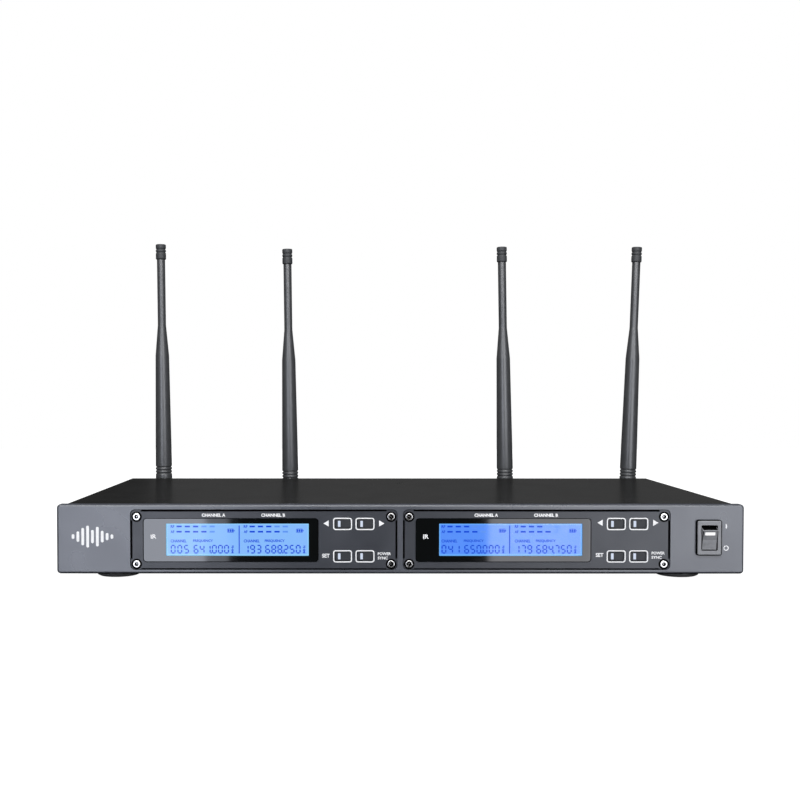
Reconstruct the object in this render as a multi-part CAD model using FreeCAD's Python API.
import FreeCAD, Part

import math
import os

# Two-module wireless receiver in a one-rack-unit desktop case.
# Everything is drawn from the lower front edge of the front panel: x = 0 in the middle,
# y = 0 on the panel's front face with +Y into the case, z = 0 on its lower edge.
# save() moves each piece so that the origin is on the floor, in the middle of the whole.

V = FreeCAD.Vector
ORIGIN = V(0, 0, 0)
AX = V(1, 0, 0)
AY = V(0, 1, 0)
AZ = V(0, 0, 1)

# ---- driving dimensions, millimetres -------------------------------------------------
PANEL_W = 431.0
PANEL_H = 43.6
PANEL_T = 6.0
PANEL_CORNER = 2.3
PANEL_ROUND = 1.5

CASE_W = 425.0
CASE_FRONT = 6.3
CASE_BACK = 211.0
CASE_TOP = 43.1
CASE_BOTTOM = 0.6
SHEET = 1.2
BEND = 1.8
FIT = 0.2

FOOT_R = 14.5
FOOT_H = 7.0
FOOT_X = 184.4
FOOT_FRONT_Y = 38.0
FOOT_REAR_Y = 180.0

POCKET_W = 167.6
POCKET_GAP = 3.4
POCKET_Z0 = 2.5
POCKET_Z1 = 40.5
POCKET_R = 3.1
POCKET_DEPTH = 2.6
WINDOW_INSET = 7.2
WINDOW_Z0 = 5.0
WINDOW_Z1 = 37.6

FACE_RECESS = 0.6
EAR_W = 6.9
EAR_H = 7.0
EAR_FIT = 0.15
SLIT_TOP = 1.3
SLIT_SIDE = 1.1
SLIT_BOTTOM = 0.7
FACE_CHAMFER = 0.3

LENS_X0 = 8.2
LENS_X1 = 117.9
LENS_Z0 = 7.5
LENS_Z1 = 34.7
LENS_R = 2.0
LENS_GAP = 0.3
LENS_Y0 = 0.85
LENS_T = 1.4

LCD_X0 = 22.4
LCD_X1 = 112.4
LCD_Z0 = 11.0
LCD_Z1 = 31.2
LCD_BORDER = 2.4

BUTTON_X = (133.45, 147.5)
BUTTON_Z = (31.35, 10.95)
BUTTON_HOLE_W = 10.3
BUTTON_HOLE_H = 5.8
BUTTON_GAP = 0.3
BUTTON_TRAVEL = 0.8
BUTTON_FRONT = 0.45
BUTTON_NAMES = (("previous_button", "next_button"), ("set_button", "sync_button"))

FACE_SCREW_INSET = 3.95
FACE_SCREW_Z = (6.1, 35.85)
FACE_SCREW_R = 2.4
FACE_SCREW_HEX = 2.6
COUNTERBORE_R = 3.0
COUNTERBORE_DEPTH = 1.0

BOARD_T = 1.6
DISPLAY_BOARD_Y = 9.2
DISPLAY_BOARD_T = 1.2

SWITCH_X = 193.0
SWITCH_Z = 22.95
SWITCH_CUT_W = 13.0
SWITCH_CUT_H = 19.0
BEZEL_W = 14.8
BEZEL_H = 21.4
BEZEL_PROUD = 2.4
ROCKER_W = 9.6
ROCKER_GAP = 0.4
ROCKER_HALF = 6.65
ROCKER_FACE = 5.1
ROCKER_TILT = 15.0
ROCKER_PIVOT_Y = 2.0
ROCKER_SLOT_HALF = 3.2
ROCKER_SLOT_Z = (3.0, 5.2)
ROCKER_SLOT_DEPTH = 1.25
SWITCH_BODY_END = 19.0
OPENING_HALF = 8.0
OPENING_DEPTH = 11.0
TRUNNION_R = 1.2
RUNNING_FIT = 0.06

# Aerials, left to right: base position, lean to +X in degrees, and seat depth
AERIAL_X = (-189.6, -82.5, 99.3, 202.3)
AERIAL_LEAN = (-0.55, -0.7, -1.0, 1.9)
AERIAL_DROP = (0.0, 3.9, 2.2, 2.3)
AERIAL_Z = 22.0
PIVOT_Y = 237.0
CUFF_R = 6.8
TIP_Z = 238.4
CAP_LEN = 12.7
CAP_R = 4.27
SLIM_R = 3.4
SLIM_LEN = 55.0
NECK_LEN = 26.0
SHOULDER_R = 5.65
BASE_R = 6.85
GROOVE_TOP_Z = 51.6
GROOVE_PITCH = 2.6
GROOVE_COUNT = 3
GROOVE_DEPTH = 0.75
CUFF_CLEAR = 0.4
TONGUE_HALF = 3.1
CHEEK_HALF = 6.4
HINGE_PIN_R = 1.5

XLR_X = (-52.0, -24.0, 4.0, 32.0)
XLR_Z = 21.3
XLR_CUP_R = 9.45
XLR_SHELL_R = 10.8
XLR_DEPTH = 16.0
XLR_FLANGE_T = 2.0
XLR_LIP = 2.8
JACK_X = 60.0
JACK_BORE_R = 3.25
JACK_DEPTH = 33.0
INLET_X = 150.0
INLET_W = 24.0
INLET_H = 15.8
INLET_DEPTH = 16.5
INLET_FLANGE_T = 2.5

TOP_SCREW_X = 6.7
TOP_SCREW_Y = 165.2
EAR_HOLE_Y = (22.0, 47.0)
EAR_HOLE_Z = 21.8
EAR_HOLE_R = 1.65

# Holes for thread-forming screws and for screws that pass through
TAP_R = 1.25
CLEAR_R = 1.7
THREAD_R = 1.2
OVER = 1.0

# ---- derived positions ---------------------------------------------------------------
FLOOR = CASE_BOTTOM - FOOT_H
TOP_UNDER = CASE_TOP - SHEET
WALL_X = CASE_W / 2 - SHEET - FIT
TRAY_TOP = CASE_BOTTOM + SHEET
FLANGE_Y = PANEL_T
REAR_OUT = CASE_BACK - FIT
REAR_IN = REAR_OUT - SHEET
ROCKER_TIP = ROCKER_PIVOT_Y - (
    ROCKER_FACE * math.cos(math.radians(ROCKER_TILT))
    + ROCKER_HALF * math.sin(math.radians(ROCKER_TILT))
)
MID_Y = (ROCKER_TIP + PIVOT_Y + BASE_R) / 2
POCKET_X = {"left": -POCKET_GAP / 2 - POCKET_W, "right": POCKET_GAP / 2}
FACE_T = POCKET_DEPTH - FACE_RECESS
FLANGE_BACK = POCKET_DEPTH + 0.4
BUTTON_FLANGE_T = 0.8
STEM_END = 5.0
BOARD_Z = 8.2


# ---- small shape helpers -------------------------------------------------------------
def box(x0, x1, y0, y1, z0, z1):
    return Part.makeBox(x1 - x0, y1 - y0, z1 - z0, V(x0, y0, z0))


def rod(radius, start, end):
    """Cylinder between two points."""
    way = end.sub(start)
    return Part.makeCylinder(radius, way.Length, start, way)


def rod_y(radius, x, z, y0, y1):
    return rod(radius, V(x, y0, z), V(x, y1, z))


def rod_z(radius, x, y, z0, z1):
    return rod(radius, V(x, y, z0), V(x, y, z1))


def edges_along(shape, axis):
    """Straight edges that run along a unit axis."""
    found = []
    for edge in shape.Edges:
        if edge.Curve.TypeId != "Part::GeomLine":
            continue
        if abs(edge.Curve.Direction.dot(axis)) > 0.999:
            found.append(edge)
    return found


def plate_y(x0, x1, z0, z1, y0, y1, radius):
    """Plate facing the front, its four corners rounded."""
    plate = box(x0, x1, y0, y1, z0, z1)
    return plate.makeFillet(radius, edges_along(plate, AY))


def hex_y(across, x, z, y0, y1, first_corner=0):
    """Hexagonal bar along Y, its first corner at an angle in degrees from +X."""
    reach = across / math.sqrt(3)
    points = []
    for i in range(7):
        turn = math.radians(first_corner + 60 * i)
        points.append(V(x + reach * math.cos(turn), y0, z + reach * math.sin(turn)))
    return Part.Face(Part.makePolygon(points)).extrude(V(0, y1 - y0, 0))


def prism_x(points, x0, x1):
    """Bar along X with a section given as (y, z) points."""
    loop = [V(x0, y, z) for y, z in points]
    loop.append(loop[0])
    return Part.Face(Part.makePolygon(loop)).extrude(V(x1 - x0, 0, 0))


def turned(points, x, y, z):
    """Body of revolution about a vertical axis, section given as (radius, height) points."""
    loop = [V(r, 0, h) for r, h in points]
    loop.append(loop[0])
    body = Part.Face(Part.makePolygon(loop)).revolve(ORIGIN, AZ, 360)
    body.translate(V(x, y, z))
    return body


def joined(shapes):
    first = shapes[0]
    return first.fuse(shapes[1:]).removeSplitter() if len(shapes) > 1 else first


def near_face(shape, y, tolerance=0.01):
    """Edges that lie wholly in the plane at this depth."""
    found = []
    for edge in shape.Edges:
        bounds = edge.BoundBox
        if abs(bounds.YMin - y) < tolerance and abs(bounds.YMax - y) < tolerance:
            found.append(edge)
    return found


def save(name, *solids):
    flat = []
    for solid in solids:
        flat.extend(solid.Solids)
    shape = flat[0] if len(flat) == 1 else Part.makeCompound(flat)
    shape = shape.copy()
    shape.translate(V(0, -MID_Y, -FLOOR))
    shape.exportStep("parts/%s.step" % name)


# ---- positions that several pieces share ---------------------------------------------
def face_screw_places(side):
    x0 = POCKET_X[side]
    spots = []
    for x in (x0 + FACE_SCREW_INSET, x0 + POCKET_W - FACE_SCREW_INSET):
        for z in FACE_SCREW_Z:
            spots.append((x, z))
    return spots


def button_places(side):
    spots = []
    for row, z in enumerate(BUTTON_Z):
        for column, offset in enumerate(BUTTON_X):
            name = "%s_%s" % (BUTTON_NAMES[row][column], side)
            spots.append((name, POCKET_X[side] + offset, z))
    return spots


def foot_places():
    spots = []
    for x in (-FOOT_X, FOOT_X):
        for y in (FOOT_FRONT_Y, FOOT_REAR_Y):
            spots.append((x, y))
    return spots


PANEL_SCREW_DEPTH = 1.6
PANEL_SCREW_X = (-206.0, -175.0, 175.0, 206.0)
PANEL_SCREW_Z = (8.0, 37.0)
SIDE_SCREW_Y = (80.0, 190.0)
SIDE_SCREW_Z = 35.0
REAR_SCREW_X = (-207.0, -135.0, -66.5, 76.0, 207.0)
REAR_SCREW_Z = 5.2
DISPLAY_POST_Z = (14.0, 28.0)
DISPLAY_POST_INSET = 3.6
RECEIVER_BOARD_Y = (22.0, 150.0)
RECEIVER_BOARD_INSET = 6.0
RECEIVER_POST_INSET = 5.0
SUPPLY_BOARD_X = (110.0, 205.0)
SUPPLY_BOARD_Y = (156.0, 189.0)
OUTPUT_BOARD_X = (-72.0, 74.0)
OUTPUT_BOARD_Y = (168.0, 186.0)
OUTPUT_POST_INSET = 4.0


def receiver_board_x(side):
    x0 = POCKET_X[side] + RECEIVER_BOARD_INSET
    return x0, x0 + POCKET_W - 2 * RECEIVER_BOARD_INSET


def board_post_places():
    spots = []
    ranges = [receiver_board_x("left") + RECEIVER_BOARD_Y]
    ranges.append(receiver_board_x("right") + RECEIVER_BOARD_Y)
    ranges.append(SUPPLY_BOARD_X + SUPPLY_BOARD_Y)
    for x0, x1, y0, y1 in ranges:
        for x in (x0 + RECEIVER_POST_INSET, x1 - RECEIVER_POST_INSET):
            for y in (y0 + RECEIVER_POST_INSET, y1 - RECEIVER_POST_INSET):
                spots.append((x, y))
    return spots


# ---- case ----------------------------------------------------------------------------
WALL_GAP = 1.5
EAR_BOSS_R = 4.0
EAR_BOSS_LEN = 4.0
REAR_LIP_Z = 9.0
CENTRE_POST_R = 3.0
CENTRE_POST_GAP = 0.1
MODULE_CUT_INSET = 0.8
MODULE_CUT_Z = (3.0, 39.6)
SWITCH_CLEAR = (9.0, 12.0)
REAR_NOTCH_Z = 12.0
AERIAL_HEX_CLEAR = 17.0
FLOOR_SLOT = (15.0, 3.0)
FLOOR_SLOT_PITCH = 22.0
FLOOR_SLOT_Y = (76.0, 104.0, 132.0)
SIDE_SLOT_Z = (13.0, 29.0)
SIDE_SLOT_START = 96.0
SIDE_SLOT_PITCH = 7.0
SIDE_SLOTS = 12
SLOT_HALF = 1.5
SLOT_END_R = 1.45
TOP_SCREW_SINK_R = 3.1
TOP_SCREW_HEAD_R = 2.9
REAR_FOLD = 8.0
AERIAL_HOLE_R = 6.15
JACK_HOLE_R = 4.6
XLR_SCREW_X = 9.5
XLR_SCREW_Z = 12.0
INLET_HOLE = (13.8, 10.2)
INLET_SCREW_X = 20.0
LOUVRES = 11
LOUVRE_START = -164.0
LOUVRE_PITCH = 5.6
LOUVRE_HALF = 1.4
LOUVRE_Z = (14.0, 33.0)
FOOT_RECESS = 3.4


def front_panel():
    """Thick aluminium front with two module pockets and the switch cut-out."""
    half = PANEL_W / 2
    panel = plate_y(-half, half, 0, PANEL_H, 0, PANEL_T, PANEL_CORNER)
    panel = panel.makeFillet(PANEL_ROUND, near_face(panel, 0))
    cuts = []
    for side, x0 in POCKET_X.items():
        x1 = x0 + POCKET_W
        cuts.append(plate_y(x0, x1, POCKET_Z0, POCKET_Z1, -OVER, POCKET_DEPTH, POCKET_R))
        window = (x0 + WINDOW_INSET, x1 - WINDOW_INSET, WINDOW_Z0, WINDOW_Z1)
        cuts.append(plate_y(*window, 0, PANEL_T + OVER, LENS_R))
        for x, z in face_screw_places(side):
            cuts.append(rod_y(TAP_R, x, z, 0, PANEL_T + OVER))
    half_w = SWITCH_CUT_W / 2
    half_h = SWITCH_CUT_H / 2
    cuts.append(box(SWITCH_X - half_w, SWITCH_X + half_w, -OVER, PANEL_T + OVER,
                    SWITCH_Z - half_h, SWITCH_Z + half_h))
    for x in PANEL_SCREW_X:
        for z in PANEL_SCREW_Z:
            cuts.append(rod_y(TAP_R, x, z, PANEL_SCREW_DEPTH, PANEL_T + OVER))
    return panel.cut(cuts)


def base_tray():
    """Bottom sheet folded up at the sides and at the front, with press-in posts."""
    front = FLANGE_Y
    back = REAR_IN
    wall_top = TOP_UNDER - WALL_GAP
    pieces = [box(-WALL_X, WALL_X, front, back, CASE_BOTTOM, TRAY_TOP)]
    for sign in (-1, 1):
        x0, x1 = sorted((sign * WALL_X, sign * (WALL_X - SHEET)))
        pieces.append(box(x0, x1, front, back, CASE_BOTTOM, wall_top))
        inner = sign * (WALL_X - SHEET)
        for y in EAR_HOLE_Y:
            end = V(inner - sign * EAR_BOSS_LEN, y, EAR_HOLE_Z)
            pieces.append(rod(EAR_BOSS_R, V(inner, y, EAR_HOLE_Z), end))
    pieces.append(box(-WALL_X, WALL_X, front, front + SHEET, CASE_BOTTOM, wall_top))
    pieces.append(box(-WALL_X, WALL_X, back - SHEET, back, CASE_BOTTOM, REAR_LIP_Z))
    pieces.append(rod_z(CENTRE_POST_R, TOP_SCREW_X, TOP_SCREW_Y, TRAY_TOP, TOP_UNDER - CENTRE_POST_GAP))
    return joined(pieces).cut(tray_flange_cuts() + tray_rear_cuts() + tray_wall_cuts() + floor_slots())


def tray_flange_cuts():
    """Openings in the front flange for the modules, the switch and the panel screws."""
    y0 = FLANGE_Y - OVER
    y1 = FLANGE_Y + SHEET + OVER
    clear_x, clear_z = SWITCH_CLEAR
    cuts = [box(SWITCH_X - clear_x, SWITCH_X + clear_x, y0, y1, SWITCH_Z - clear_z, SWITCH_Z + clear_z)]
    for x0 in POCKET_X.values():
        x1 = x0 + POCKET_W
        cuts.append(box(x0 + MODULE_CUT_INSET, x1 - MODULE_CUT_INSET, y0, y1, *MODULE_CUT_Z))
    for x in PANEL_SCREW_X:
        for z in PANEL_SCREW_Z:
            cuts.append(rod_y(CLEAR_R, x, z, y0, y1))
    return cuts


def tray_rear_cuts():
    """Screw holes in the rear lip and notches round the connectors."""
    y0 = REAR_IN - SHEET - OVER
    y1 = REAR_IN + OVER
    cuts = [rod_y(TAP_R, x, REAR_SCREW_Z, y0, y1) for x in REAR_SCREW_X]
    cuts.extend(hex_y(AERIAL_HEX_CLEAR, x, AERIAL_Z, y0, y1) for x in AERIAL_X)
    for x, half, low in [(x, 12.0, 4.0) for x in XLR_X] + [(INLET_X, 25.0, 3.0)]:
        cuts.append(box(x - half, x + half, y0, y1, low, REAR_NOTCH_Z))
    return cuts


def tray_wall_cuts():
    """Holes for the feet, the top screw, the rack ears and the side screws."""
    cuts = [rod_z(CLEAR_R, x, y, 0, TRAY_TOP + OVER) for x, y in foot_places()]
    cuts.append(rod_z(TAP_R, TOP_SCREW_X, TOP_SCREW_Y, 30.0, TOP_UNDER + OVER))
    for sign in (-1, 1):
        outside = sign * (WALL_X + OVER)
        boss_end = sign * (WALL_X - SHEET - EAR_BOSS_LEN - OVER)
        wall_end = sign * (WALL_X - SHEET - OVER)
        for y in EAR_HOLE_Y:
            cuts.append(rod(EAR_HOLE_R, V(outside, y, EAR_HOLE_Z), V(boss_end, y, EAR_HOLE_Z)))
        for y in SIDE_SCREW_Y:
            cuts.append(rod(TAP_R, V(outside, y, SIDE_SCREW_Z), V(wall_end, y, SIDE_SCREW_Z)))
    return cuts


def floor_slots():
    length, width = FLOOR_SLOT
    slots = []
    for y in FLOOR_SLOT_Y:
        for i in range(-6, 7):
            x = FLOOR_SLOT_PITCH * i
            slot = box(x - length / 2, x + length / 2, y - width / 2, y + width / 2, 0, TRAY_TOP + OVER)
            slots.append(slot.makeFillet(SLOT_END_R, edges_along(slot, AZ)))
    return slots


def side_vents(sign):
    """Upright slots through one side of the cover."""
    slots = []
    x0, x1 = sorted((sign * (CASE_W / 2 + OVER), sign * (WALL_X - SHEET - OVER)))
    for i in range(SIDE_SLOTS):
        y = SIDE_SLOT_START + SIDE_SLOT_PITCH * i
        slot = box(x0, x1, y - SLOT_HALF, y + SLOT_HALF, *SIDE_SLOT_Z)
        slots.append(slot.makeFillet(SLOT_END_R, edges_along(slot, AX)))
    return slots


def top_cover():
    """U-shaped cover that slides over the tray, rounded along its two top bends."""
    half = CASE_W / 2
    outer = box(-half, half, CASE_FRONT, CASE_BACK, CASE_BOTTOM, CASE_TOP)
    top = [e for e in edges_along(outer, AY) if e.BoundBox.ZMin > CASE_TOP - 1]
    outer = outer.makeFillet(BEND, top)
    inner = box(-half + SHEET, half - SHEET, CASE_FRONT - OVER, CASE_BACK + OVER, -OVER, TOP_UNDER)
    top = [e for e in edges_along(inner, AY) if e.BoundBox.ZMin > TOP_UNDER - 1]
    inner = inner.makeFillet(BEND - SHEET, top)
    cuts = [inner]
    cuts.append(rod_z(CLEAR_R, TOP_SCREW_X, TOP_SCREW_Y, TOP_UNDER - OVER, CASE_TOP + OVER))
    sink = V(TOP_SCREW_X, TOP_SCREW_Y, CASE_TOP - 0.99)
    cuts.append(Part.makeCone(CLEAR_R, TOP_SCREW_SINK_R, 1.0, sink, AZ))
    for sign in (-1, 1):
        outside = sign * (half + OVER)
        inside = sign * (half - SHEET - OVER)
        for y in EAR_HOLE_Y:
            cuts.append(rod(EAR_HOLE_R + 0.65, V(outside, y, EAR_HOLE_Z), V(inside, y, EAR_HOLE_Z)))
        for y in SIDE_SCREW_Y:
            cuts.append(rod(CLEAR_R, V(outside, y, SIDE_SCREW_Z), V(inside, y, SIDE_SCREW_Z)))
        cuts.extend(side_vents(sign))
    return outer.cut(cuts)


def rear_panel():
    """Rear sheet that carries every connector, with louvre slots at the left."""
    top = TOP_UNDER - 0.3
    panel = box(-WALL_X, WALL_X, REAR_IN, REAR_OUT, CASE_BOTTOM, top)
    fold = box(-WALL_X, WALL_X, REAR_IN - REAR_FOLD, REAR_IN + 0.5, top - SHEET, top)
    panel = joined([panel, fold])
    cuts = []
    y0 = REAR_IN - OVER
    y1 = REAR_OUT + OVER
    for x in AERIAL_X:
        cuts.append(rod_y(AERIAL_HOLE_R, x, AERIAL_Z, y0, y1))
    for x in XLR_X:
        cuts.append(rod_y(XLR_SHELL_R + 0.15, x, XLR_Z, y0, y1))
        for sign in (-1, 1):
            cuts.append(rod_y(TAP_R, x + sign * XLR_SCREW_X, XLR_Z + sign * XLR_SCREW_Z, y0, y1))
    cuts.append(rod_y(JACK_HOLE_R, JACK_X, XLR_Z, y0, y1))
    half_w, half_h = INLET_HOLE
    cuts.append(plate_y(INLET_X - half_w, INLET_X + half_w, XLR_Z - half_h, XLR_Z + half_h, y0, y1, 2.0))
    for sign in (-1, 1):
        cuts.append(rod_y(CLEAR_R, INLET_X + sign * INLET_SCREW_X, XLR_Z, y0, y1))
    for x in REAR_SCREW_X:
        cuts.append(rod_y(CLEAR_R, x, REAR_SCREW_Z, y0, y1))
    for i in range(LOUVRES):
        x = LOUVRE_START + LOUVRE_PITCH * i
        slot = box(x - LOUVRE_HALF, x + LOUVRE_HALF, y0, y1, *LOUVRE_Z)
        cuts.append(slot.makeFillet(LOUVRE_HALF - 0.05, edges_along(slot, AY)))
    return panel.cut(cuts)


def rubber_feet():
    """Four turned rubber feet with a recess for the screw."""
    feet = []
    for x, y in foot_places():
        section = [(CLEAR_R, CASE_BOTTOM), (FOOT_R, CASE_BOTTOM), (FOOT_R, FLOOR + 2.0),
                   (FOOT_R - 0.6, FLOOR + 0.6), (FOOT_R - 1.8, FLOOR), (6.0, FLOOR),
                   (5.2, FLOOR + FOOT_RECESS), (CLEAR_R, FLOOR + FOOT_RECESS)]
        feet.append(turned(section, x, y, 0))
    return feet


def pan_screw_z(x, y, seat, head_r, head_h, shank_r, length, down):
    """Pan-head screw along Z with a cross slot; down = -1 when its head faces the floor."""
    head = Part.makeCylinder(head_r, head_h, V(x, y, seat), AZ * down)
    rim = [e for e in head.Edges if abs(e.BoundBox.ZMin - (seat + down * head_h)) < 0.01
           and e.Curve.TypeId == "Part::GeomCircle"]
    head = head.makeFillet(head_h * 0.45, rim)
    shank = Part.makeCylinder(shank_r, length, V(x, y, seat), AZ * -down)
    drive = cross_recess(head_r * 0.62, head_h * 0.6)
    if down > 0:
        drive.rotate(ORIGIN, AX, 180)
    drive.translate(V(x, y, seat + down * head_h))
    return head.fuse(shank).cut(drive)


def cross_recess(reach, depth):
    """Cross-shaped pit that opens downward at the origin and rises to its depth."""
    wide = reach * 0.3
    first = box(-reach, reach, -wide, wide, -0.2, depth)
    second = box(-wide, wide, -reach, reach, -0.2, depth)
    return first.fuse(second)


def foot_screws():
    seat = FLOOR + FOOT_RECESS
    return [pan_screw_z(x, y, seat, 3.4, 2.0, 1.5, 8.5, -1) for x, y in foot_places()]


def screw_y(x, z, seat, head_r, head_h, shank_r, length, back):
    """Pan-head screw along Y; back = 1 when its head faces the rear."""
    screw = pan_screw_z(0, 0, 0, head_r, head_h, shank_r, length, 1)
    screw.rotate(ORIGIN, AX, -90 * back)
    screw.translate(V(x, seat, z))
    return screw


# Head radius and height, shank radius and length
CASE_SCREW = (2.6, 1.8, THREAD_R, 5.0)
SIDE_SCREW = (2.6, 1.6, THREAD_R, 4.5)
CONNECTOR_SCREW = (2.4, 1.5, THREAD_R, 6.0)
INLET_SCREW = (2.8, 1.7, 1.6, 8.0)


def case_screws():
    """Panel screws inside the flange, rear sheet screws, side screws and the top screw."""
    screws = []
    for x in PANEL_SCREW_X:
        for z in PANEL_SCREW_Z:
            screws.append(screw_y(x, z, FLANGE_Y + SHEET, *CASE_SCREW, 1))
    for x in REAR_SCREW_X:
        screws.append(screw_y(x, REAR_SCREW_Z, REAR_OUT, *CASE_SCREW, 1))
    for sign in (-1, 1):
        for y in SIDE_SCREW_Y:
            screw = pan_screw_z(0, 0, 0, *SIDE_SCREW, 1)
            screw.rotate(ORIGIN, AY, 90 * sign)
            screw.translate(V(sign * CASE_W / 2, y, SIDE_SCREW_Z))
            screws.append(screw)
    sink = V(TOP_SCREW_X, TOP_SCREW_Y, CASE_TOP - 0.98)
    head = Part.makeCone(CLEAR_R, TOP_SCREW_HEAD_R, 0.9, sink, AZ)
    shank = rod_z(THREAD_R, TOP_SCREW_X, TOP_SCREW_Y, 33.0, CASE_TOP - 0.5)
    drive = cross_recess(1.8, 0.6)
    drive.rotate(ORIGIN, AX, 180)
    drive.translate(V(TOP_SCREW_X, TOP_SCREW_Y, CASE_TOP - 0.08))
    screws.append(head.fuse(shank).cut(drive))
    return screws


# ---- receiver module fronts ----------------------------------------------------------
def faceplate(side):
    """Module front: four ears fill the pocket corners and a slit runs between them."""
    x0 = POCKET_X[side]
    x1 = x0 + POCKET_W
    y0 = FACE_RECESS
    y1 = POCKET_DEPTH
    plate = plate_y(x0 + EAR_FIT, x1 - EAR_FIT, POCKET_Z0 + EAR_FIT, POCKET_Z1 - EAR_FIT,
                    y0, y1, POCKET_R - EAR_FIT)
    strips = [
        box(x0 + EAR_W, x1 - EAR_W, y0 - 1, y1 + 1, POCKET_Z1 - SLIT_TOP, POCKET_Z1),
        box(x0 + EAR_W, x1 - EAR_W, y0 - 1, y1 + 1, POCKET_Z0, POCKET_Z0 + SLIT_BOTTOM),
        box(x0, x0 + SLIT_SIDE, y0 - 1, y1 + 1, POCKET_Z0 + EAR_H, POCKET_Z1 - EAR_H),
        box(x1 - SLIT_SIDE, x1, y0 - 1, y1 + 1, POCKET_Z0 + EAR_H, POCKET_Z1 - EAR_H),
    ]
    plate = plate.cut(strips)
    plate = plate.makeChamfer(FACE_CHAMFER, near_face(plate, y0))
    lens = lens_outline(side, LENS_GAP)
    seat = LENS_Y0 + LENS_T
    cuts = [plate_y(*lens, y0 - 1, seat, LENS_R + LENS_GAP)]
    cuts.append(box(x0 + LCD_X0 - 1.5, x0 + LCD_X1 + 1.5, seat - 0.5, y1 + 1,
                    LCD_Z0 - 1.2, LCD_Z1 + 1.2))
    for name, x, z in button_places(side):
        half_w = BUTTON_HOLE_W / 2
        half_h = BUTTON_HOLE_H / 2
        cuts.append(plate_y(x - half_w, x + half_w, z - half_h, z + half_h, y0 - 1, y1 + 1, 0.9))
    for x, z in face_screw_places(side):
        cuts.append(rod_y(COUNTERBORE_R, x, z, y0 - OVER, y0 + COUNTERBORE_DEPTH))
        cuts.append(rod_y(THREAD_R + 0.2, x, z, y0 - OVER, y1 + OVER))
    return plate.cut(cuts)


def lens_outline(side, grow=0.0):
    x0 = POCKET_X[side]
    return x0 + LENS_X0 - grow, x0 + LENS_X1 + grow, LENS_Z0 - grow, LENS_Z1 + grow


def display_lens(side):
    lens = plate_y(*lens_outline(side), LENS_Y0, LENS_Y0 + LENS_T, LENS_R)
    return lens.makeChamfer(0.2, near_face(lens, LENS_Y0))


def lcd(side):
    """Glass cell on its light guide, with two rows of pins down to the board."""
    x0 = POCKET_X[side] + LCD_X0 - LCD_BORDER
    x1 = POCKET_X[side] + LCD_X1 + LCD_BORDER
    z0 = LCD_Z0 - LCD_BORDER
    z1 = LCD_Z1 + LCD_BORDER
    front = POCKET_DEPTH + 0.2
    glass = box(x0, x1, front, front + 2.0, z0, z1)
    guide = box(x0 + 1.0, x1 - 1.0, front + 2.0, DISPLAY_BOARD_Y - 0.6, z0 + 1.0, z1 - 1.0)
    pieces = [glass, guide]
    for i in range(14):
        x = x0 + 6.0 + 6.2 * i
        pieces.append(box(x - 0.4, x + 0.4, DISPLAY_BOARD_Y - 0.8, DISPLAY_BOARD_Y, z0 + 1.5, z0 + 2.3))
    return joined(pieces)


def display_board(side):
    x0 = POCKET_X[side] + 1.6
    x1 = POCKET_X[side] + POCKET_W - 1.6
    y1 = DISPLAY_BOARD_Y + DISPLAY_BOARD_T
    board = box(x0, x1, DISPLAY_BOARD_Y, y1, 4.0, 38.6)
    chip_x = POCKET_X[side] + 60.0
    chip = box(chip_x, chip_x + 14, y1, y1 + 1.4, 15.0, 29.0)
    socket = box(chip_x + 30, chip_x + 52, y1, y1 + 5.0, 8.0, 13.0)
    return joined([board, chip, socket])


def tact_switches(side):
    switches = []
    for name, x, z in button_places(side):
        plunger = rod_y(1.5, x, z, STEM_END + BUTTON_TRAVEL + 0.1, 6.8)
        body = box(x - 3, x + 3, 6.6, DISPLAY_BOARD_Y, z - 3, z + 3)
        switches.append(joined([plunger, body]))
    return switches


def button(x, z):
    """Key cap with a slot for its light pipe, a captive flange and a stem to the switch."""
    half_w = BUTTON_HOLE_W / 2 - BUTTON_GAP
    half_h = BUTTON_HOLE_H / 2 - BUTTON_GAP
    cap = plate_y(x - half_w, x + half_w, z - half_h, z + half_h, BUTTON_FRONT, FLANGE_BACK, 0.7)
    cap = cap.makeChamfer(0.2, near_face(cap, BUTTON_FRONT))
    flange = box(x - 6.2, x + 6.2, FLANGE_BACK, FLANGE_BACK + BUTTON_FLANGE_T, z - 3.5, z + 3.5)
    stem = rod_y(1.6, x, z, FLANGE_BACK, STEM_END)
    slot = box(x - 3.2, x - 1.1, BUTTON_FRONT - 1, BUTTON_FRONT + 0.5, z - 2.0, z + 2.0)
    return joined([cap, flange, stem]).cut(slot)


def socket_screw(x, z, seat):
    """Small cap screw with a hexagonal pit in a rounded head."""
    front = seat - 1.5
    head = rod_y(FACE_SCREW_R, x, z, front, seat)
    head = head.makeFillet(0.5, near_face(head, front))
    shank = rod_y(THREAD_R, x, z, seat, PANEL_T - 0.4)
    pit = hex_y(FACE_SCREW_HEX, x, z, front - OVER, seat - 0.3)
    return head.fuse(shank).cut(pit)


def faceplate_screws():
    seat = FACE_RECESS + COUNTERBORE_DEPTH
    screws = []
    for side in POCKET_X:
        for x, z in face_screw_places(side):
            screws.append(socket_screw(x, z, seat))
    return screws


POST_R = 2.8


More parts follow.
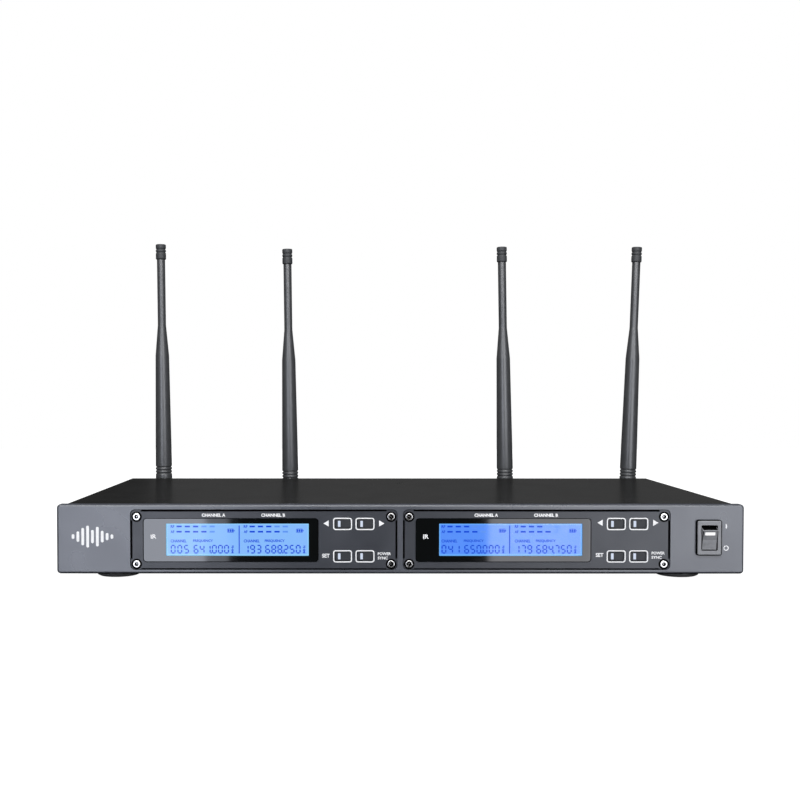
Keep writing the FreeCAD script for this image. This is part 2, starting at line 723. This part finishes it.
def board_standoffs():
    """Posts that carry the display boards, the receiver boards and the supply board."""
    posts = []
    for side, x0 in POCKET_X.items():
        for x in (x0 + DISPLAY_POST_INSET, x0 + POCKET_W - DISPLAY_POST_INSET):
            for z in DISPLAY_POST_Z:
                posts.append(rod_y(2.0, x, z, PANEL_T, DISPLAY_BOARD_Y))
    for x, y in board_post_places():
        posts.append(rod_z(POST_R, x, y, TRAY_TOP, BOARD_Z))
    for x in (OUTPUT_BOARD_X[0] + OUTPUT_POST_INSET, OUTPUT_BOARD_X[1] - OUTPUT_POST_INSET):
        posts.append(rod_z(POST_R, x, OUTPUT_BOARD_Y[0] + OUTPUT_POST_INSET, TRAY_TOP, BOARD_Z))
    return posts


# ---- power switch --------------------------------------------------------------------
def power_switch_frame():
    """Bezel in front of the panel and a hollow body behind it, bored for the rocker."""
    half_w = BEZEL_W / 2
    half_h = BEZEL_H / 2
    bezel = plate_y(SWITCH_X - half_w, SWITCH_X + half_w, SWITCH_Z - half_h, SWITCH_Z + half_h,
                    -BEZEL_PROUD, 0, 1.0)
    bezel = bezel.makeFillet(0.6, near_face(bezel, -BEZEL_PROUD))
    body_w = SWITCH_CUT_W / 2 - 0.1
    body_h = SWITCH_CUT_H / 2 - 0.1
    body = box(SWITCH_X - body_w, SWITCH_X + body_w, 0, SWITCH_BODY_END,
               SWITCH_Z - body_h, SWITCH_Z + body_h)
    opening_w = ROCKER_W / 2 + ROCKER_GAP
    opening = plate_y(SWITCH_X - opening_w, SWITCH_X + opening_w, SWITCH_Z - OPENING_HALF,
                      SWITCH_Z + OPENING_HALF, -BEZEL_PROUD - OVER, OPENING_DEPTH, 0.8)
    bore_r = TRUNNION_R + RUNNING_FIT
    bore = rod(bore_r, V(SWITCH_X - body_w - 1, ROCKER_PIVOT_Y, SWITCH_Z),
               V(SWITCH_X + body_w + 1, ROCKER_PIVOT_Y, SWITCH_Z))
    return joined([bezel, body]).cut([opening, bore])


def power_rocker():
    """Rocker with a shallow hollow face, tipped so that its lower end is pressed in."""
    half_w = ROCKER_W / 2
    section = [(-ROCKER_FACE, ROCKER_HALF), (-ROCKER_FACE + 0.7, 0), (-ROCKER_FACE, -ROCKER_HALF),
               (0.0, -7.2), (3.2, -5.0), (3.2, 5.0), (0.0, 7.2)]
    rocker = prism_x(section, -half_w, half_w)
    rims = [e for e in edges_along(rocker, AX) if abs(e.BoundBox.YMin + ROCKER_FACE) < 0.01]
    rocker = rocker.makeFillet(0.5, rims)
    slot = box(-ROCKER_SLOT_HALF, ROCKER_SLOT_HALF, -ROCKER_FACE - OVER,
               -ROCKER_FACE + ROCKER_SLOT_DEPTH, *ROCKER_SLOT_Z)
    rocker = rocker.cut(slot)
    reach = SWITCH_CUT_W / 2 - 0.3
    trunnions = rod(TRUNNION_R, V(-reach, 0, 0), V(reach, 0, 0))
    nose = rod(1.0, V(0, 3.0, 0), V(0, 6.5, 0))
    rocker = joined([rocker, trunnions, nose])
    rocker.rotate(ORIGIN, AX, ROCKER_TILT)
    rocker.translate(V(SWITCH_X, ROCKER_PIVOT_Y, SWITCH_Z))
    return rocker


BLADE_X = 3.6
BLADE_Z = 5.5
BLADE_END = 27.0


def power_switch_terminals():
    blades = []
    for z in (SWITCH_Z - BLADE_Z, SWITCH_Z + BLADE_Z):
        for x in (SWITCH_X - BLADE_X, SWITCH_X + BLADE_X):
            blades.append(box(x - 0.4, x + 0.4, SWITCH_BODY_END, BLADE_END, z - 2.4, z + 2.4))
    return blades


# ---- rear connectors -----------------------------------------------------------------
SOCKET_BORE_R = 4.05
SOCKET_R = 4.8
SOCKET_END = 224.5
LUG_Y = 219.6
LUG_REACH = 5.9


def aerial_socket(x):
    """Bulkhead coaxial socket: inner hex, thread, barrel with two bayonet lugs."""
    pieces = [hex_y(15.0, x, AERIAL_Z, REAR_IN - 3.0, REAR_IN, 30)]
    pieces.append(rod_y(6.0, x, AERIAL_Z, REAR_IN - 1.0, REAR_OUT + 3.2))
    pieces.append(rod_y(SOCKET_R, x, AERIAL_Z, REAR_OUT + 3.0, SOCKET_END))
    pieces.append(rod(1.0, V(x, LUG_Y, AERIAL_Z - LUG_REACH), V(x, LUG_Y, AERIAL_Z + LUG_REACH)))
    pieces.append(rod_y(4.0, x, AERIAL_Z, REAR_IN - 9.0, REAR_IN - 2.0))
    body = joined(pieces)
    body = body.cut(rod_y(SOCKET_BORE_R, x, AERIAL_Z, REAR_OUT + 3.4, SOCKET_END + 1))
    insulator = rod_y(2.6, x, AERIAL_Z, REAR_OUT + 3.4, SOCKET_END - 2.5)
    insulator = insulator.cut(rod_y(0.8, x, AERIAL_Z, REAR_OUT + 5.0, SOCKET_END))
    tail = rod_y(0.7, x, AERIAL_Z, REAR_IN - 13.0, REAR_IN - 9.0)
    return joined([body, insulator, tail])


def aerial_nut(x):
    nut = hex_y(15.0, x, AERIAL_Z, REAR_OUT, REAR_OUT + 2.4)
    return nut.cut(rod_y(6.03, x, AERIAL_Z, REAR_OUT - 1, REAR_OUT + 4))


def xlr_shell(x):
    """Flanged output shell: square plate with rounded corners and an open round cup."""
    face = REAR_OUT + XLR_FLANGE_T
    mouth = REAR_OUT + XLR_LIP
    flange = plate_y(x - 13, x + 13, XLR_Z - 15.5, XLR_Z + 15.5, REAR_OUT, face, 3.0)
    flange = flange.makeChamfer(0.5, near_face(flange, face))
    barrel = rod_y(XLR_SHELL_R, x, XLR_Z, REAR_OUT - 21.0, REAR_OUT + 1.0)
    lip = rod_y(XLR_SHELL_R + 0.2, x, XLR_Z, REAR_OUT + 1.0, mouth)
    shell = joined([flange, barrel, lip])
    cuts = [rod_y(XLR_CUP_R, x, XLR_Z, REAR_OUT - 22.0, mouth + OVER)]
    for sign in (-1, 1):
        cuts.append(rod_y(CLEAR_R, x + sign * XLR_SCREW_X, XLR_Z + sign * XLR_SCREW_Z,
                          REAR_OUT - OVER, mouth + OVER))
    return shell.cut(cuts)


def xlr_pin_places(x):
    return [(x - 4.1, XLR_Z), (x + 4.1, XLR_Z), (x, XLR_Z - 4.1)]


def xlr_insert(x):
    floor_y = REAR_OUT + XLR_LIP - XLR_DEPTH
    insert = rod_y(XLR_CUP_R - 0.02, x, XLR_Z, REAR_OUT - 19.0, floor_y)
    key = box(x - 1.5, x + 1.5, floor_y - 0.5, floor_y + 8.0, XLR_Z - XLR_CUP_R + 0.3, XLR_Z - 7.4)
    holes = [rod_y(1.2, px, pz, REAR_OUT - 20.0, floor_y + 1) for px, pz in xlr_pin_places(x)]
    return joined([insert, key]).cut(holes)


def xlr_pins(x):
    pins = []
    tip = REAR_OUT - 1.0
    for px, pz in xlr_pin_places(x):
        pin = rod_y(1.19, px, pz, REAR_OUT - 23.0, tip)
        pins.append(pin.makeFillet(0.7, near_face(pin, tip)))
    return pins


def connector_screws():
    screws = []
    for x in XLR_X:
        for sign in (-1, 1):
            screws.append(screw_y(x + sign * XLR_SCREW_X, XLR_Z + sign * XLR_SCREW_Z,
                                  REAR_OUT + XLR_FLANGE_T, *CONNECTOR_SCREW, 1))
    for sign in (-1, 1):
        screws.append(screw_y(INLET_X + sign * INLET_SCREW_X, XLR_Z, REAR_OUT + INLET_FLANGE_T,
                              *INLET_SCREW, 1))
    return screws


def output_jack():
    """Quarter-inch jack: threaded bush through the panel and a moulded body behind it."""
    mouth = REAR_OUT + 5.0
    body = box(JACK_X - 7.5, JACK_X + 7.5, REAR_IN - 28.0, REAR_IN, XLR_Z - 8.5, XLR_Z + 8.5)
    bush = rod_y(4.5, JACK_X, XLR_Z, REAR_IN - 1.0, mouth)
    bush = bush.makeChamfer(0.4, near_face(bush, mouth))
    bore = rod_y(JACK_BORE_R, JACK_X, XLR_Z, mouth - JACK_DEPTH + 1.2, mouth + 1)
    return joined([body, bush]).cut(bore)


def output_jack_nut():
    nut = hex_y(12.0, JACK_X, XLR_Z, REAR_OUT, REAR_OUT + 2.6)
    return nut.cut(rod_y(4.53, JACK_X, XLR_Z, REAR_OUT - 1, REAR_OUT + 4))


def inlet_cavity(y0, y1):
    """Clear space of the mains inlet, its two upper corners cut off."""
    half_w = INLET_W / 2
    half_h = INLET_H / 2
    cavity = box(INLET_X - half_w, INLET_X + half_w, y0, y1, XLR_Z - half_h, XLR_Z + half_h)
    upper = [e for e in edges_along(cavity, AY) if e.BoundBox.ZMin > XLR_Z]
    return cavity.makeChamfer(4.0, upper)


def mains_inlet():
    """Screw-flanged three-pin appliance inlet."""
    mouth = REAR_OUT + INLET_FLANGE_T
    flange = plate_y(INLET_X - 25, INLET_X + 25, XLR_Z - 11.5, XLR_Z + 11.5,
                     REAR_OUT, mouth, 5.0)
    flange = flange.makeChamfer(0.5, near_face(flange, mouth))
    body = plate_y(INLET_X - 13.6, INLET_X + 13.6, XLR_Z - 10.0, XLR_Z + 10.0,
                   REAR_OUT - 17.0, REAR_OUT + 0.5, 2.0)
    cuts = [inlet_cavity(mouth - INLET_DEPTH, mouth + OVER)]
    for sign in (-1, 1):
        cuts.append(rod_y(1.9, INLET_X + sign * INLET_SCREW_X, XLR_Z, REAR_OUT - OVER, mouth + OVER))
    for x, z in inlet_pin_places():
        cuts.append(box(x - 1.0, x + 1.0, REAR_OUT - 18.0, REAR_OUT, z - 2.0, z + 2.0))
    return joined([flange, body]).cut(cuts)


def inlet_pin_places():
    return [(INLET_X - 7.0, XLR_Z - 2.0), (INLET_X + 7.0, XLR_Z - 2.0), (INLET_X, XLR_Z + 2.0)]


def inlet_pins():
    pins = []
    tip = REAR_OUT - 0.5
    for x, z in inlet_pin_places():
        pin = box(x - 1.0, x + 1.0, REAR_OUT - 24.0, tip, z - 2.0, z + 2.0)
        pins.append(pin.makeChamfer(0.5, near_face(pin, tip)))
    return pins


# ---- boards, supply and leads --------------------------------------------------------
def receiver_board(side):
    x0, x1 = receiver_board_x(side)
    y0, y1 = RECEIVER_BOARD_Y
    top = BOARD_Z + BOARD_T
    board = box(x0, x1, y0, y1, BOARD_Z, top)
    pieces = [board, box(x0 + 20, x0 + 34, y0 + 12, y0 + 26, top, top + 1.5)]
    pieces.append(box(x0 + 60, x0 + 72, y0 + 14, y0 + 26, top, top + 1.5))
    pieces.append(box(x0 + 88, x0 + 112, y0 + 3, y0 + 9, top, top + 6.0))
    for i in range(6):
        pieces.append(rod_z(3.2, x0 + 22 + 9 * i, y0 + 36, top, top + 8.0))
    return joined(pieces)


SHIELD_H = 14.0
SHIELD_T = 0.6


def receiver_shields():
    """Four folded tin cans over the radio sections, each an open-bottomed shell."""
    cans = []
    top = BOARD_Z + BOARD_T
    for side in POCKET_X:
        x0, x1 = receiver_board_x(side)
        middle = (x0 + x1) / 2
        for low, high in ((x0 + 12, middle - 4), (middle + 4, x1 - 12)):
            y0, y1 = RECEIVER_BOARD_Y[1] - 72, RECEIVER_BOARD_Y[1] - 12
            shell = box(low, high, y0, y1, top, top + SHIELD_H)
            inner = box(low + SHIELD_T, high - SHIELD_T, y0 + SHIELD_T, y1 - SHIELD_T,
                        top - OVER, top + SHIELD_H - SHIELD_T)
            cans.append(shell.cut(inner))
    return cans


def supply_board():
    x0, x1 = SUPPLY_BOARD_X
    y0, y1 = SUPPLY_BOARD_Y
    top = BOARD_Z + BOARD_T
    board = box(x0, x1, y0, y1, BOARD_Z, top)
    heat_sink = [box(x0 + 68, x0 + 70, y0 + 4, y1 - 4, top, top + 20.0)]
    for i in range(4):
        heat_sink.append(box(x0 + 70, x0 + 76, y0 + 5 + 6 * i, y0 + 6.2 + 6 * i, top, top + 20.0))
    return joined([board] + heat_sink)


def power_transformer():
    x0, y0 = SUPPLY_BOARD_X[0] + 4, SUPPLY_BOARD_Y[0] + 4
    top = BOARD_Z + BOARD_T
    core = box(x0, x0 + 28, y0, y0 + 22, top + 2, top + 24)
    coil = box(x0 + 4, x0 + 24, y0 - 2, y0 + 24, top, top + 20)
    return joined([core, coil])


def supply_capacitors():
    top = BOARD_Z + BOARD_T
    cans = []
    for i in range(2):
        x = SUPPLY_BOARD_X[0] + 50 + 11.5 * i
        can = rod_z(5.0, x, SUPPLY_BOARD_Y[0] + 16, top, top + 20)
        rim = [e for e in can.Edges if e.BoundBox.ZMin > top + 19]
        cans.append(can.makeFillet(0.6, rim))
    return cans


def output_board():
    """Small board under the output connectors, with a filter block for each."""
    top = BOARD_Z + BOARD_T
    x0, x1 = OUTPUT_BOARD_X
    y0, y1 = OUTPUT_BOARD_Y
    pieces = [box(x0, x1, y0, y1, BOARD_Z, top)]
    for x in XLR_X:
        pieces.append(box(x - 4, x + 4, y0 + 6, y0 + 14, top, top + 9))
    board = joined(pieces)
    return board.cut(rod_z(CENTRE_POST_R + 0.6, TOP_SCREW_X, TOP_SCREW_Y, 0, 30))


def routed(radius, points):
    """Lead of round section along straight runs, with a ball at each turn."""
    pieces = []
    for start, end in zip(points, points[1:]):
        pieces.append(rod(radius, start, end))
    for point in points[1:-1]:
        pieces.append(Part.makeSphere(radius, point))
    return joined(pieces)


def coax_leads():
    """One thin coaxial lead from each aerial socket to its receiver board."""
    leads = []
    start_y = REAR_IN - 13.0
    board_edge = RECEIVER_BOARD_Y[1] - 6
    ends = (receiver_board_x("left")[0] + 30, receiver_board_x("left")[1] - 30,
            receiver_board_x("right")[0] + 30, receiver_board_x("right")[1] - 30)
    top = BOARD_Z + BOARD_T + 1.0
    run = 38.2
    for x, end_x in zip(AERIAL_X, ends):
        points = [V(x, start_y, AERIAL_Z), V(x, start_y - 2, AERIAL_Z),
                  V(x, start_y - 5, AERIAL_Z + 5), V(x, start_y - 5, run),
                  V(end_x, board_edge + 6, run), V(end_x, board_edge, run - 6),
                  V(end_x, board_edge, top)]
        leads.append(routed(1.0, points))
    return leads


def ribbon_cables():
    """Flat cable from each display board's socket down to its receiver board."""
    cables = []
    y0 = DISPLAY_BOARD_Y + DISPLAY_BOARD_T + 5.0
    y1 = RECEIVER_BOARD_Y[0] + 6.0
    low = BOARD_Z + BOARD_T + 6.0
    for side in POCKET_X:
        middle = POCKET_X[side] + 60.0 + 41.0
        section = [(y0, 10.0), (y0, 11.0), (y0 + 2.0, 12.0), (y0 + 4.0, 20.0), (y1 - 1.0, 20.0),
                   (y1, low), (y1 - 1.0, low), (y1 - 1.8, 19.0), (y0 + 5.0, 19.0), (y0 + 3.0, 11.0)]
        cables.append(prism_x(section, middle - 9.0, middle + 9.0))
    return cables


def mains_leads():
    """Two insulated leads from the inlet along the right wall to the front switch."""
    leads = []
    for i, sign in enumerate((1, -1)):
        start = V(INLET_X + sign * 7.0, REAR_OUT - 24.0, XLR_Z - 2.0)
        back = start.y - 1.4
        lift = 31.4 + 2.8 * i
        wall = WALL_X - SHEET - 5.0 - 3.0 * i
        blade = V(SWITCH_X + sign * BLADE_X, BLADE_END, SWITCH_Z + BLADE_Z)
        points = [start, V(start.x, back, start.z), V(start.x, back, lift),
                  V(wall, back, lift), V(wall, 45.0, lift),
                  V(blade.x, 31.0, blade.z), blade]
        leads.append(routed(1.2, points))
    return leads


# ---- aerials -------------------------------------------------------------------------
RING_START = 214.8
RING_END = 226.1
RING_R = 7.3
RING_BORE_R = 5.3
CUFF_START = 226.4
GROOVE_R = 6.3
KNURLS = 18


def aerial_ring(x):
    """Bayonet ring: a groove for the lugs, two entry slots a quarter turn away, grips."""
    ring = rod_y(RING_R, x, AERIAL_Z, RING_START, RING_END)
    ring = ring.makeChamfer(0.4, near_face(ring, RING_START) + near_face(ring, RING_END))
    cuts = [rod_y(RING_BORE_R, x, AERIAL_Z, RING_START - 1, RING_END + 1)]
    cuts.append(rod_y(GROOVE_R, x, AERIAL_Z, LUG_Y - 1.3, LUG_Y + 1.3))
    cuts.append(box(x - GROOVE_R, x + GROOVE_R, RING_START - 1, LUG_Y, AERIAL_Z - 1.4, AERIAL_Z + 1.4))
    for i in range(KNURLS):
        turn = 2 * math.pi * (i + 0.5) / KNURLS
        gx = x + (RING_R + 0.25) * math.cos(turn)
        gz = AERIAL_Z + (RING_R + 0.25) * math.sin(turn)
        cuts.append(rod_y(0.6, gx, gz, RING_START + 1.5, RING_END - 1.5))
    return ring.cut(cuts)


def aerial_elbow(x):
    """Swivelling elbow: spigot in the socket, cuff, two cheeks and the hinge pin."""
    pin_z = AERIAL_Z
    neck = rod_y(RING_BORE_R - 0.1, x, pin_z, SOCKET_END + 0.4, CUFF_START + 0.5)
    spigot = rod_y(SOCKET_BORE_R - 0.1, x, pin_z, 216.5, SOCKET_END + 1.0)
    hollow = rod_y(2.9, x, pin_z, 216.0, SOCKET_END - 1.5)
    contact = rod_y(0.7, x, pin_z, 217.0, SOCKET_END)
    cuff = rod_y(CUFF_R, x, pin_z, CUFF_START, PIVOT_Y - 6.7)
    cuff = cuff.makeChamfer(0.5, near_face(cuff, CUFF_START))
    pieces = [neck, spigot.cut(hollow), contact, cuff]
    for low, high in ((-CHEEK_HALF, -TONGUE_HALF - 0.3), (TONGUE_HALF + 0.3, CHEEK_HALF)):
        disc = rod(CUFF_R, V(x + low, PIVOT_Y, pin_z), V(x + high, PIVOT_Y, pin_z))
        web = box(x + low, x + high, PIVOT_Y - 7.2, PIVOT_Y, pin_z - CUFF_R, pin_z + CUFF_R)
        limit = rod_y(CUFF_R, x, pin_z, PIVOT_Y - 8, PIVOT_Y)
        pieces.append(disc)
        pieces.append(web.common(limit))
    pieces.append(rod(HINGE_PIN_R, V(x - CHEEK_HALF, PIVOT_Y, pin_z), V(x + CHEEK_HALF, PIVOT_Y, pin_z)))
    return joined(pieces)


def whip_section(drop):
    """Half section of the whip's cover as (radius, height above the pivot) points."""
    groove_top = GROOVE_TOP_Z - AERIAL_Z - drop
    tip = TIP_Z - AERIAL_Z - drop
    slim_top = tip - CAP_LEN
    slim_low = slim_top - SLIM_LEN
    neck_low = slim_low - NECK_LEN
    start = CUFF_R + CUFF_CLEAR
    points = [(0, start), (BASE_R - 0.6, start), (BASE_R, start + 0.6)]
    for i in reversed(range(GROOVE_COUNT)):
        top = groove_top - GROOVE_PITCH * i
        points.append((BASE_R, top - 1.5))
        points.append((BASE_R - GROOVE_DEPTH, top - 1.0))
        points.append((BASE_R - GROOVE_DEPTH, top - 0.5))
        points.append((BASE_R, top))
    points.append((SHOULDER_R, neck_low))
    points.append((SLIM_R, slim_low))
    points.append((SLIM_R, slim_top))
    points.append((0, slim_top))
    return points


def aerial_whip(x, drop):
    """Moulded whip with a hinge tongue at its foot."""
    cover = turned(whip_section(drop), 0, 0, 0)
    tongue = rod(CUFF_R - 0.5, V(-TONGUE_HALF, 0, 0), V(TONGUE_HALF, 0, 0))
    stalk = box(-TONGUE_HALF, TONGUE_HALF, -4.8, 4.8, 0, CUFF_R + CUFF_CLEAR + 1)
    whip = joined([cover, tongue, stalk])
    bore = rod(HINGE_PIN_R + RUNNING_FIT, V(-8, 0, 0), V(8, 0, 0))
    whip = whip.cut(bore)
    whip.translate(V(x, PIVOT_Y, AERIAL_Z))
    return whip


def aerial_cap(x, drop):
    """Ribbed tip cap with a domed end."""
    top = TIP_Z - AERIAL_Z - drop
    low = top - CAP_LEN
    points = [(0, low), (CAP_R - 0.3, low), (CAP_R, low + 0.3)]
    for height in (top - 6.6, top - 3.9):
        points.append((CAP_R, height - 0.9))
        points.append((CAP_R - 0.5, height - 0.55))
        points.append((CAP_R - 0.5, height + 0.05))
        points.append((CAP_R, height + 0.4))
    points.extend([(CAP_R, top - 1.2), (CAP_R - 0.35, top - 0.4), (CAP_R - 1.2, top), (0, top)])
    return turned(points, x, PIVOT_Y, AERIAL_Z)


def leaned(shape, x, lean):
    """The shape swivelled about its socket's axis, which runs along Y."""
    shape.rotate(V(x, PIVOT_Y, AERIAL_Z), AY, lean)
    return shape


# ---- build every piece ---------------------------------------------------------------
def main():
    os.makedirs("parts", exist_ok=True)
    save("front_panel", front_panel())
    save("base_tray", base_tray())
    save("top_cover", top_cover())
    save("rear_panel", rear_panel())
    save("rubber_feet", *rubber_feet())
    save("foot_screws", *foot_screws())
    save("case_screws", *case_screws())
    for side in POCKET_X:
        save("faceplate_" + side, faceplate(side))
        save("display_lens_" + side, display_lens(side))
        for name, x, z in button_places(side):
            save(name, button(x, z))
    save("lcd_modules", lcd("left"), lcd("right"))
    save("display_boards", display_board("left"), display_board("right"))
    save("receiver_boards", receiver_board("left"), receiver_board("right"))
    save("tact_switches", *tact_switches("left"), *tact_switches("right"))
    save("faceplate_screws", *faceplate_screws())
    save("board_standoffs", *board_standoffs())
    save("power_switch_frame", power_switch_frame())
    save("power_rocker", power_rocker())
    save("aerial_sockets", *[aerial_socket(x) for x in AERIAL_X])
    save("connector_nuts", *[aerial_nut(x) for x in AERIAL_X], output_jack_nut())
    save("xlr_shells", *[xlr_shell(x) for x in XLR_X])
    save("xlr_inserts", *[xlr_insert(x) for x in XLR_X])
    save("xlr_pins", *[pin for x in XLR_X for pin in xlr_pins(x)])
    save("connector_screws", *connector_screws())
    save("output_jack", output_jack())
    save("output_board", output_board())
    save("mains_inlet", mains_inlet())
    save("mains_blades", *inlet_pins(), *power_switch_terminals())
    save("receiver_shields", *receiver_shields())
    save("supply_board", supply_board())
    save("power_transformer", power_transformer())
    save("supply_capacitors", *supply_capacitors())
    save("coax_leads", *coax_leads())
    save("ribbon_cables", *ribbon_cables())
    save("mains_leads", *mains_leads())
    for number, (x, lean, drop) in enumerate(zip(AERIAL_X, AERIAL_LEAN, AERIAL_DROP), 1):
        save("aerial_ring_%d" % number, aerial_ring(x))
        save("aerial_elbow_%d" % number, leaned(aerial_elbow(x), x, lean))
        save("aerial_whip_%d" % number, leaned(aerial_whip(x, drop), x, lean))
        save("aerial_cap_%d" % number, leaned(aerial_cap(x, drop), x, lean))


main()
